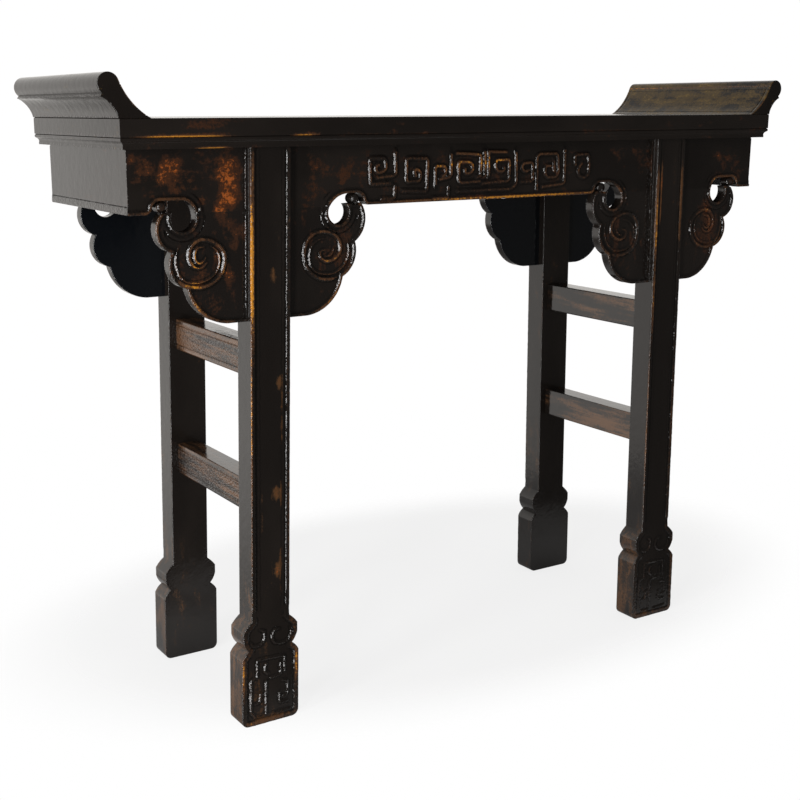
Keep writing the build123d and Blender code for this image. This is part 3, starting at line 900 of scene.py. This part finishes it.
def seam_free(x, z):
    """Whether a place on a long apron's or spandrel's outline is a free edge."""
    reach = np.abs(x) - FORK_MIDDLE
    seam = (np.abs(z - APRON_BOTTOM) < 0.05) & (reach > -EYE_SIDE["inner"])
    seam &= reach < EYE_SIDE["outer"]
    return ~seam & below_top(x, z) & (np.abs(reach) > 0.05)


def lower_free(x, z):
    """The same without the long apron's two ends."""
    return seam_free(x, z) & (np.abs(x) < APRON_END - 0.05)


VOLUTE_STROKES = [  # half-width, height and tapers of each of the three
    (3.3, 2.7, (8.0, 26.0)), (2.2, 2.0, (10.0, 24.0)), (2.8, 2.2, (10.0, 12.0))]
VOLUTES = {  # the spiral, the line inside its outer turn, and the small eye
    "outer": (
        [(131.9, -82.8), (123.7, -89.8), (114, -94.2), (99.9, -96.5), (87, -94.2), (75.3, -87.9),
         (67.1, -78.2), (62.7, -65.4), (63.4, -54.2), (69.1, -45.4), (78.2, -38.4),
         (88.8, -34.7), (98, -34.7), (106.6, -39.1), (112, -46.1), (113.9, -54.4),
         (112.6, -62.2), (107.6, -68.7), (100.6, -71.2), (94.1, -69.5), (89.7, -64.9)],
        [(128.7, -44.5), (131.4, -53.3), (132, -60.9), (131, -70), (127.6, -79.2), (121.5, -86.1),
         (113.9, -89.2), (104, -90.4), (94, -89), (83.9, -84.9), (75.9, -78), (71.4, -68.8),
         (70.8, -58.4), (74.6, -49.4), (82.7, -43.4)],
        [(92.6, -44), (101.2, -44.8), (105.1, -50.4), (105.8, -57.4), (103.1, -63.2),
         (98.2, -65), (93.2, -62.1), (90.2, -57.8)]),
    "inner": (
        [(108.5, -97.2), (96.4, -99), (82.1, -97.4), (68.7, -90.2), (60.2, -80), (56.9, -67.6),
         (57.6, -55.4), (62.1, -44.2), (70.7, -36.5), (81, -33.4), (92, -33.7), (103.1, -37.6),
         (111.1, -45.5), (114.3, -55.3), (111.9, -64.1), (104.6, -70.9), (94.2, -74),
         (85.4, -71.4), (81.2, -65), (83.1, -59.6), (88.7, -58.6)],
        [(125.6, -48.4), (127, -55.4), (126.6, -65), (124.5, -73.2), (119.5, -81),
         (112.2, -87), (102.9, -91.4), (91.7, -92), (79, -89.6), (69.9, -83.7), (65.3, -74.9),
         (64.3, -65.3), (66.7, -55.4), (72.4, -48.4), (80.9, -43.7), (87.2, -43)],
        [(102.7, -57.4), (100.6, -62.7), (95.8, -66.6), (90.2, -67.4)]),
}

FRET_BEND, FRET_HALF, FRET_RISE = 4.5, 3.3, 2.6
FRET = [
    [(-200, 759), (-201, 794), (-176, 794), (-174, 780), (-180, 775), (-188, 774), (-192, 778),
     (-191, 783), (-186, 785)],
    [(-200, 759), (-167, 759)], [(-159, 802), (-158, 770), (-190, 767)],
    [(-159, 755), (-160, 738), (-183, 738)],
    [(-148, 748), (-105, 746), (-104, 792), (-140, 793), (-140, 760), (-117, 761), (-116, 773),
     (-123, 778), (-128, 774), (-124, 768)],
    [(-90, 755), (-91, 781), (-73, 780), (-72, 769), (-79, 766)],
    [(-63, 796), (-63, 765), (-83, 762)], [(-67, 751), (-68, 736), (-94, 736)],
    [(-11, 757), (-49, 756), (-50, 786), (-28, 785), (-23, 776), (-30, 768), (-39, 770),
     (-38, 775)],
    [(-54, 798), (-30, 797), (-10, 795), (-10, 764), (-17, 763)],
    [(-52, 744), (47, 744), (57, 752), (55, 796)],
    [(-3, 799), (-2, 764)], [(4, 799), (5, 764)], [(4, 799), (37, 798)],
    [(-7, 754), (43, 756), (43, 787), (18, 787), (17, 775), (24, 769), (33, 771), (33, 776)],
    [(65, 754), (88, 754), (87, 782), (69, 781), (66, 774), (72, 768), (80, 771)],
    [(96, 741), (95, 790), (100, 794), (135, 794), (138, 766), (133, 759), (115, 759),
     (111, 766), (112, 776), (122, 776)],
    [(128, 783), (129, 768)], [(149, 799), (150, 749), (106, 745)],
    [(171, 776), (169, 791), (197, 792), (199, 763), (191, 756), (179, 759), (176, 770),
     (184, 779)],
]

# Worn orange patches of the front: X, Z, half-width, half-height, strength
PATCHES = [(-501, 783, 25, 27, 1.0), (-488, 768, 18, 15, 0.8), (-535, 787, 15, 18, 0.75),
           (-512, 760, 26, 13, 0.5), (-551, 797, 8, 9, 0.9), (-470, 778, 90, 34, 0.24),
           (-419, 780, 19, 27, 1.05), (-418, 752, 15, 16, 1.05), (-431, 733, 12, 11, 0.85),
           (-424, 714, 19, 15, 0.75), (-456, 748, 10, 15, 0.65), (-412, 690, 24, 44, 0.5),
           (-420, 651, 13, 18, 0.95), (-462, 664, 44, 42, 0.66), (-438, 668, 13, 24, 0.95),
           (-470, 640, 22, 9, 0.85), (-462, 604, 62, 32, 0.5), (-524, 716, 20, 30, 0.5),
           (-265, 665, 42, 42, 0.5), (-286, 783, 16, 20, 0.55), (-245, 780, 20, 22, 0.42),
           (-300, 700, 34, 40, 0.5), (-250, 605, 50, 28, 0.46), (40, 733, 220, 4, 0.85),
           (0, 772, 190, 30, 0.3), (262, 665, 42, 42, 0.5), (283, 720, 20, 16, 0.45),
           (462, 664, 42, 42, 0.55), (456, 700, 18, 24, 0.6), (475, 780, 13, 9, 0.75),
           (511, 779, 12, 9, 0.65), (500, 760, 50, 36, 0.4), (300, 780, 90, 26, 0.34)]


def front_warmth(points):
    warmth = np.zeros(len(points))
    for x, z, wide, high, strength in PATCHES:
        gap = ((points[:, 0] - x) / wide) ** 2 + ((points[:, 1] - z) / high) ** 2
        warmth = np.maximum(warmth, strength * np.exp(-gap ** 1.5))
    return warmth


def from_fork(points):
    """Each kind of spandrel with the points as its reach and rise from the fork."""
    reach = np.abs(points[:, 0]) - FORK_MIDDLE
    return [(kind, reach * way, points[:, 1] - APRON_BOTTOM) for kind, way in REACHES.items()]


def ring_share(points):
    """Where a second ring follows the bead: above the hooks, round the eyes."""
    share = np.zeros(len(points))
    for kind, out, rise in from_fork(points):
        eye_out, eye_rise = EYE[kind]
        gap = np.hypot(out - eye_out, rise - eye_rise)
        near = smooth((36 - gap) / 4) * smooth((rise + 46) / 6)
        leg_side = smooth((eye_out - 8 - out) / 7)
        below = smooth((eye_rise - rise) / 7)
        share = np.maximum(share, near * np.maximum(leg_side, below))
    return share


def ball_dome(points, height, crest, groove):
    """The ball on each hook's tip is domed, with a painted shade round its foot."""
    for kind, out, rise in from_fork(points):
        gap = np.hypot(out - BALL[kind][0], rise - BALL[kind][1]) / BALL_RADIUS
        within = gap < 1.001
        dome = 1.6 - BALL_RADIUS * 0.8 * (1 - np.sqrt(np.clip(1 - gap ** 2, 0, 1)))
        height = np.where(within, dome, height)
        crest = np.where(within, smooth(1.3 - gap), crest)
        # painted shade: a darkened ring round the ball's foot, through the groove channel
        groove = np.where(within, smooth((gap - 0.75) / 0.25) * 0.6, groove)
    return height, crest, groove


def volute_mound(points, height, crest, groove):
    """The ground swells a little under each volute."""
    for _, out, rise in from_fork(points):
        height = height + 0.9 * np.exp(-(np.hypot(out - 97, rise + 65) / 26) ** 2)
    return height, crest, groove


for face, sign in FACES.items():
    spandrels = [(side, kind) for side in SIDES for kind in REACHES]
    loops = {"apron": face_outline(f"apron_{face}", 1, sign)}
    for side, kind in spandrels:
        loops[side, kind] = face_outline(f"spandrel_{face}_{side}_{kind}", 1, sign)
    edges = [outline_where(finer(loop, OUTLINE_STEP), lower_free) for loop in loops.values()]
    carving = Carving([volute_mound, ball_dome], bead_edges=np.vstack(edges),
                      ring_share=ring_share)
    for side, kind in spandrels:
        place = on_board(side, kind)
        for path, (half_width, height, taper) in zip(VOLUTES[kind], VOLUTE_STROKES):
            carving.stroke(place(curve_through(path)), half_width, height, taper)
    for path in FRET:
        path = np.array(path, float) * (-sign, 1)
        carving.stroke(rounded_path(path, FRET_BEND), FRET_HALF, FRET_RISE)
    for way in SIDES.values():
        for offset in (-31.6, 31.6):
            line = [(way * leg_axis(z) + offset, z) for z in (582.0, 811.5)]
            carving.stroke(line, 1.2, 1.0)
    warm = front_warmth if face == "front" else (lambda p: front_warmth(p * (-1, 1)) * 0.7)
    board(f"apron_{face}_carved", loops["apron"], 1, sign, APRON_FACE, APRON_BACK, carving,
          "lacquer_apron", [f"apron_{face}"], seam_free, mitre=APRON_END, warm=warm)
    for side, kind in spandrels:
        node = f"spandrel_{face}_{side}_{kind}"
        board(node + "_carved", loops[side, kind], 1, sign, APRON_FACE, APRON_BACK, carving,
              "lacquer_spandrel", [node], seam_free, warm=warm)


def end_strip(points, height, crest, groove):
    """Low strip along an end apron's lower edge, under a fine groove."""
    rise = points[:, 1] - APRON_BOTTOM
    cut = groove_form(rise, 10.2, 1.3)
    swell = np.sqrt(np.clip(1 - ((rise - 4.6) / 5.4) ** 2, 0, 1))
    # the fine groove also carries the lacquer's painted shade
    return height + 0.9 * swell - 1.1 * cut, np.maximum(crest, 0.5 * swell), cut


end_loop = np.array([(-APRON_FACE, APRON_BOTTOM), (APRON_FACE, APRON_BOTTOM),
                     (APRON_FACE, UNDERSIDE), (-APRON_FACE, UNDERSIDE)])
end_rows = np.arange(-APRON_FACE + 2, APRON_FACE - 1.9, 4.0)
end_guides = [np.stack([end_rows, np.full(len(end_rows), APRON_BOTTOM + rise)], axis=1)
              for rise in (2.5, 4.6, 6.8, 8.4, 9.2, 10.2, 11.2, 12.2, 16.0)]
for side, sign in SIDES.items():
    carving = Carving([end_strip], ground=-0.4)
    carving.guides = end_guides
    board(f"apron_{side}_end_carved", end_loop, 0, sign, APRON_END, APRON_END_BACK, carving,
          "lacquer_apron", [f"apron_{side}_end"], below_top,
          material="lacquer_apron_end", mitre=APRON_FACE)

# ------------------------------------------------------------------------------ legs
half = [(0.0, 0.0)] + arc_points((35.3, 0), (45.3, 10), 2.93, 6) + [(45.3, 102.5)]
half += arc_points((45.3, 102.5), (34.5, 115), 1.0, 6)[1:]
half += arc_points((34.5, 115), (43.2, 131), 1.2, 6)[1:] + [(43.2, 144.0)]
half += arc_points((43.2, 144), (29.85, 158), 0.8, 6)[1:]
half += [(29.85, UNDERSIDE), (0.0, UNDERSIDE)]
leg_profile = np.array(half + [(-u, z) for u, z in half[-2:0:-1]])

FOOT_HALF, FOOT_RISE = 2.6, 2.9  # the strokes on collar and foot
FOOT_PATHS = [
    [(-8, 64), (-8, 13), (-26, 13), (-32, 22), (-32, 71), (-22, 73), (-22, 99.5), (22, 98),
     (22, 74)],
    [(-7, 91), (-10, 86), (-10, 80), (-5, 76)], [(15.5, 88), (15.5, 70), (0, 68.5)],
    [(-17, 47), (-17.5, 35), (-24, 33)], [(19, 60), (27, 58), (27, 37), (21, 35)],
    [(14, 42), (14, 27), (27, 27)], [(2, 12.5), (30, 14)],
]
COLLAR_SCROLLS = [
    [(-17, 144), (-11, 141), (-10.5, 132), (-13, 125), (-20, 121.5), (-28, 122.5), (-33, 129)],
    [(14, 140), (6, 140), (2.5, 134), (3, 126), (9, 119.5), (20, 118), (29, 122), (32.5, 130),
     (31, 138)],
]
FLUTE_END = 170.0


def lean(points, way):
    """Points given from a leg's axis, as X and Z of the leg on that side."""
    points = np.asarray(points, float)
    return np.stack([way * leg_axis(points[:, 1]) + points[:, 0], points[:, 1]], axis=1)


def leg_face(way):
    """Bead, groove and fine line along both edges of the shank; bead round the foot."""
    ring = outline_where(lean(finer(leg_profile, OUTLINE_STEP), way), lambda x, z: z < 168)

    def shape(points, height, crest, groove):
        across = np.abs(points[:, 0] - way * leg_axis(points[:, 1]))
        shank = smooth((points[:, 1] - FLUTE_END) / 6.0)
        bead = ridge_form((across - 22.8) * 1.2) * shank
        inner = ridge_form((22.2 - across) * 0.9)
        cut = np.minimum(1 - inner, smooth((24.0 - across) / 1.6)) * shank
        line = groove_form(across, 16.65, 1.1) * shank
        height = height + bead - 2.6 * cut - 1.3 * line
        crest = np.maximum(crest, smooth(bead * 2.4 - 1.3))
        crest = np.maximum(crest, 0.6 * groove_form(across, 19.2, 1.2) * shank)
        # the grooves returned here are darkened by the lacquer as painted shade
        groove = np.maximum(groove, np.maximum(smooth(cut * 1.6), 0.8 * line))
        foot = 1 - smooth((points[:, 1] - 160) / 8.0)
        gap = distances(points, ring)
        bead = edge_form(gap, 3.6, 8.4) * foot
        cut = groove_form(gap, 9.2, 1.7) * foot * (height < 0.3)
        ground = -1.3 * foot * (gap > 6.0)
        height = np.maximum(height + ground, bead) - 0.7 * cut
        crest = np.maximum(crest, smooth(bead * 1.5 - 0.5))
        return height, crest, np.maximum(groove, cut)
    return shape


def leg_points(way):
    """Rows along the flutes of the shank."""
    columns = [29.3, 28.2, 26.8, 25.4, 24.8, 24.2, 23.6, 23.1, 22.6, 22.1, 21.6, 21.1, 20.6,
               20.1, 19.5, 18.8, 17.75, 17.2, 16.65, 16.1, 15.5, 13.5, 9.5, 4.0]
    columns = columns + [-c for c in columns]
    rows = np.arange(164.0, UNDERSIDE - 1.0, 4.0)
    grid = np.array([(c, z) for z in rows for c in columns])
    return lean(grid, way)


# Worn streaks of the front legs: offset from the axis, Z, half-width, half-height, strength
LEG_SPOTS = {
    "left": [(-28, 655, 3.2, 100, 1.25), (-27, 775, 2.0, 26, 0.6), (-29.6, 400, 1.2, 200, 0.9),
             (13, 498, 6, 12, 0.9), (17, 472, 2.2, 22, 0.75), (17, 430, 2.2, 28, 0.9),
             (9, 342, 7, 12, 0.9), (16, 340, 2.5, 24, 0.8), (10, 229, 5, 12, 0.75),
             (16, 232, 2.5, 42, 0.6), (-14, 330, 2.0, 70, 0.5), (5, 646, 4, 13, 0.75),
             (-12, 250, 2.0, 40, 0.5), (29.6, 300, 1.5, 140, 0.5),
             (41.5, 84, 3.2, 26, 0.85), (-43.5, 80, 1.6, 34, 0.8), (0, 6, 44, 6, 0.5)],
    "right": [(-27, 690, 3.6, 80, 1.1), (-18.5, 730, 2.2, 55, 1.0), (-27, 560, 2.6, 60, 0.9),
              (-29.8, 330, 1.0, 160, 0.7), (25.5, 700, 2.0, 60, 0.6), (0, 290, 10, 16, 0.55),
              (29.8, 400, 1.0, 120, 0.35), (0, 6, 44, 6, 0.5)],
}


def leg_warmth(side, way, share):
    """Worn streaks of a leg's face."""
    def warmth(points):
        offset = points[:, 0] - way * leg_axis(points[:, 1])
        out = np.zeros(len(points))
        for u, z, wide, high, strength in LEG_SPOTS[side]:
            spot = np.exp(-((offset - u) / wide) ** 2 - (abs(points[:, 1] - z) / high) ** 3)
            out = np.maximum(out, strength * spot)
        return share * out
    return warmth


def low_warmth(points):
    """The sides of the legs are rubbed brown towards the floor."""
    return 0.12 + 0.24 * smooth((400 - points[:, 1]) / 220)


def back_warmth(points):
    """So are their inner faces, though less."""
    return 0.04 + 0.08 * smooth((250 - points[:, 1]) / 150)


for face, sign in FACES.items():
    for side, way in SIDES.items():
        carving = Carving([leg_face(way)], ground=0.0)
        for path in FOOT_PATHS:
            carving.stroke(rounded_path(lean(path, way), 3.0), FOOT_HALF, FOOT_RISE)
        for scroll in COLLAR_SCROLLS:
            carving.stroke(lean(curve_through(scroll), way), FOOT_HALF, FOOT_RISE,
                           taper=(6.0, 8.0))
        loop = lean(finer(leg_profile, OUTLINE_STEP), way)
        rim = left_normals(loop)
        rings = [loop + rim * offset for offset in (2.2, 3.6, 5.0, 6.4, 7.4, 8.6, 9.8)]
        rings = np.vstack([r[r[:, 1] < 162] for r in rings])
        inner = np.vstack([rings, leg_points(way)])
        inner = inner[inside(inner, loop, 1.5)]
        foot_inner = lean(hex_grid((-46, 1), (46, 168), 2.6), way)
        foot_inner = foot_inner[inside(foot_inner, loop, 10.5)]
        carving.guides.append(foot_inner)
        board(f"leg_{face}_{side}_carved", loop, 1, sign, LEG_FACE, LEG_BACK, carving,
              "lacquer_leg", [f"leg_{face}_{side}"], below_top,
              inner=inner, warm=leg_warmth(side, way, 1.0 if face == "front" else 0.4),
              side_warm=low_warmth, back_warm=back_warmth, rounding=0.9, wobble=0.8)

# ------------------------------------------------------------------------------ stage
FLOOR_MIDDLE, FLOOR_REACH = (0.12, 0.17), (0.88, 0.52)  # metres, along X and Y


def stage_floor():
    """Pale oval that fades out at its rim into the white world."""
    mesh = bpy.data.meshes.new("floor")
    count = 96
    turns = [2 * pi * i / count for i in range(count)]
    mesh.from_pydata([(FLOOR_MIDDLE[0] + FLOOR_REACH[0] * cos(turn),
                       FLOOR_MIDDLE[1] + FLOOR_REACH[1] * sin(turn), 0) for turn in turns],
                     [], [list(range(count))])
    floor = new_object("floor", mesh)
    material = bpy.data.materials.new("floor")
    n = Nodes(material)
    place = n.add("ShaderNodeTexCoord").outputs["Object"]
    place = n.stretched(place, (1 / FLOOR_REACH[0], 1 / FLOOR_REACH[1], 1),
                        (-FLOOR_MIDDLE[0] / FLOOR_REACH[0], -FLOOR_MIDDLE[1] / FLOOR_REACH[1], 0))
    reach = n.add("ShaderNodeVectorMath", {0: place}, operation="LENGTH").outputs["Value"]
    plain = n.add("ShaderNodeBsdfDiffuse", {"Color": (0.65, 0.65, 0.65, 1)})
    clear = n.add("ShaderNodeBsdfTransparent")
    white = n.add("ShaderNodeEmission", {"Color": (1, 1, 1, 1), "Strength": 1.0})
    rays = n.add("ShaderNodeLightPath").outputs
    seen = n.times(rays["Is Camera Ray"], 0.8)
    plain = n.add("ShaderNodeMixShader", {0: seen, 1: plain.outputs[0], 2: white.outputs[0]})
    mixed = n.add("ShaderNodeMixShader",
                  {0: n.ramp(reach, 0.65, 0.99), 1: plain.outputs[0], 2: clear.outputs[0]})
    n.add("ShaderNodeOutputMaterial", {"Surface": mixed.outputs[0]})
    mesh.materials.append(material)
    floor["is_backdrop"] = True


def stage_world():
    """White studio behind the table, dim room before it; camera rays see plain white."""
    world = bpy.data.worlds.new("studio")
    bpy.context.scene.world = world
    n = Nodes(world)
    direction = n.add("ShaderNodeTexCoord").outputs["Generated"]
    parts = n.add("ShaderNodeSeparateXYZ", {0: direction}).outputs
    rays = n.add("ShaderNodeLightPath").outputs
    behind = n.ramp(parts["Y"], -0.05, 0.45)
    height = n.ramp(parts["Z"], 0.4, 0.85, 1.0, 0.35)
    height = n.times(height, n.ramp(parts["Z"], -0.46, -0.22, 0.1, 1.0))
    level = n.times(behind, height)
    level = n.math("ADD", n.times(level, 0.95), 0.06)
    levels = [n.math("MAXIMUM", n.times(level, share), rays["Is Camera Ray"])
              for share in (1.0, 0.97, 0.93)]
    seen = n.math("ADD", rays["Is Camera Ray"], rays["Is Glossy Ray"])
    seen = n.math("ADD", seen, rays["Is Transmission Ray"], clamp=True)
    colour = n.add("ShaderNodeCombineColor", dict(enumerate(levels))).outputs[0]
    view = n.add("ShaderNodeBackground", {"Color": colour, "Strength": 1.0})
    light = n.add("ShaderNodeBackground", {"Color": (0.57, 0.56, 0.55, 1), "Strength": 1.0})
    mixed = n.add("ShaderNodeMixShader", {0: seen, 1: light.outputs[0], 2: view.outputs[0]})
    n.add("ShaderNodeOutputWorld", {"Surface": mixed.outputs[0]})


LAMP_HEIGHT, LAMP_SIZE = 0.15, (0.4, 3.3)  # metres


def tall_lamp(name, x, y, power):
    """Tall soft lamp that faces the table's middle."""
    data = bpy.data.lights.new(name, "AREA")
    data.shape = "RECTANGLE"
    data.size, data.size_y = LAMP_SIZE
    data.energy = power
    lamp = new_object(name, data)
    lamp.location = (x, y, LAMP_HEIGHT)
    lamp.rotation_euler = Vector((-x, -y, 0)).to_track_quat("-Z", "Y").to_euler()


stage_floor()
stage_world()
tall_lamp("window_left", -2.45, -0.8, 66)
tall_lamp("window_front", -2.2, -1.6, 58)


# ----------------------------------------------------------------------------- camera
CAMERA_PLACE = (-1.14387, -1.62634, 0.86023)
YAW, PITCH, ROLL = radians(-31.088), radians(-13.071), radians(-0.159)
camera = bpy.data.cameras.new("camera")
camera.sensor_width = 36.0
camera.lens = 1253.28 / 800 * 36
camera.shift_x = (400 - 340) / 800
camera.clip_start = 0.05
viewer = new_object("camera", camera)
viewer.matrix_world = (Matrix.Translation(CAMERA_PLACE) @ Matrix.Rotation(YAW, 4, "Z")
                       @ Matrix.Rotation(pi / 2 + PITCH, 4, "X") @ Matrix.Rotation(ROLL, 4, "Z"))
bpy.context.scene.camera = viewer
bpy.context.scene.view_settings.view_transform = "Standard"

low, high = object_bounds()
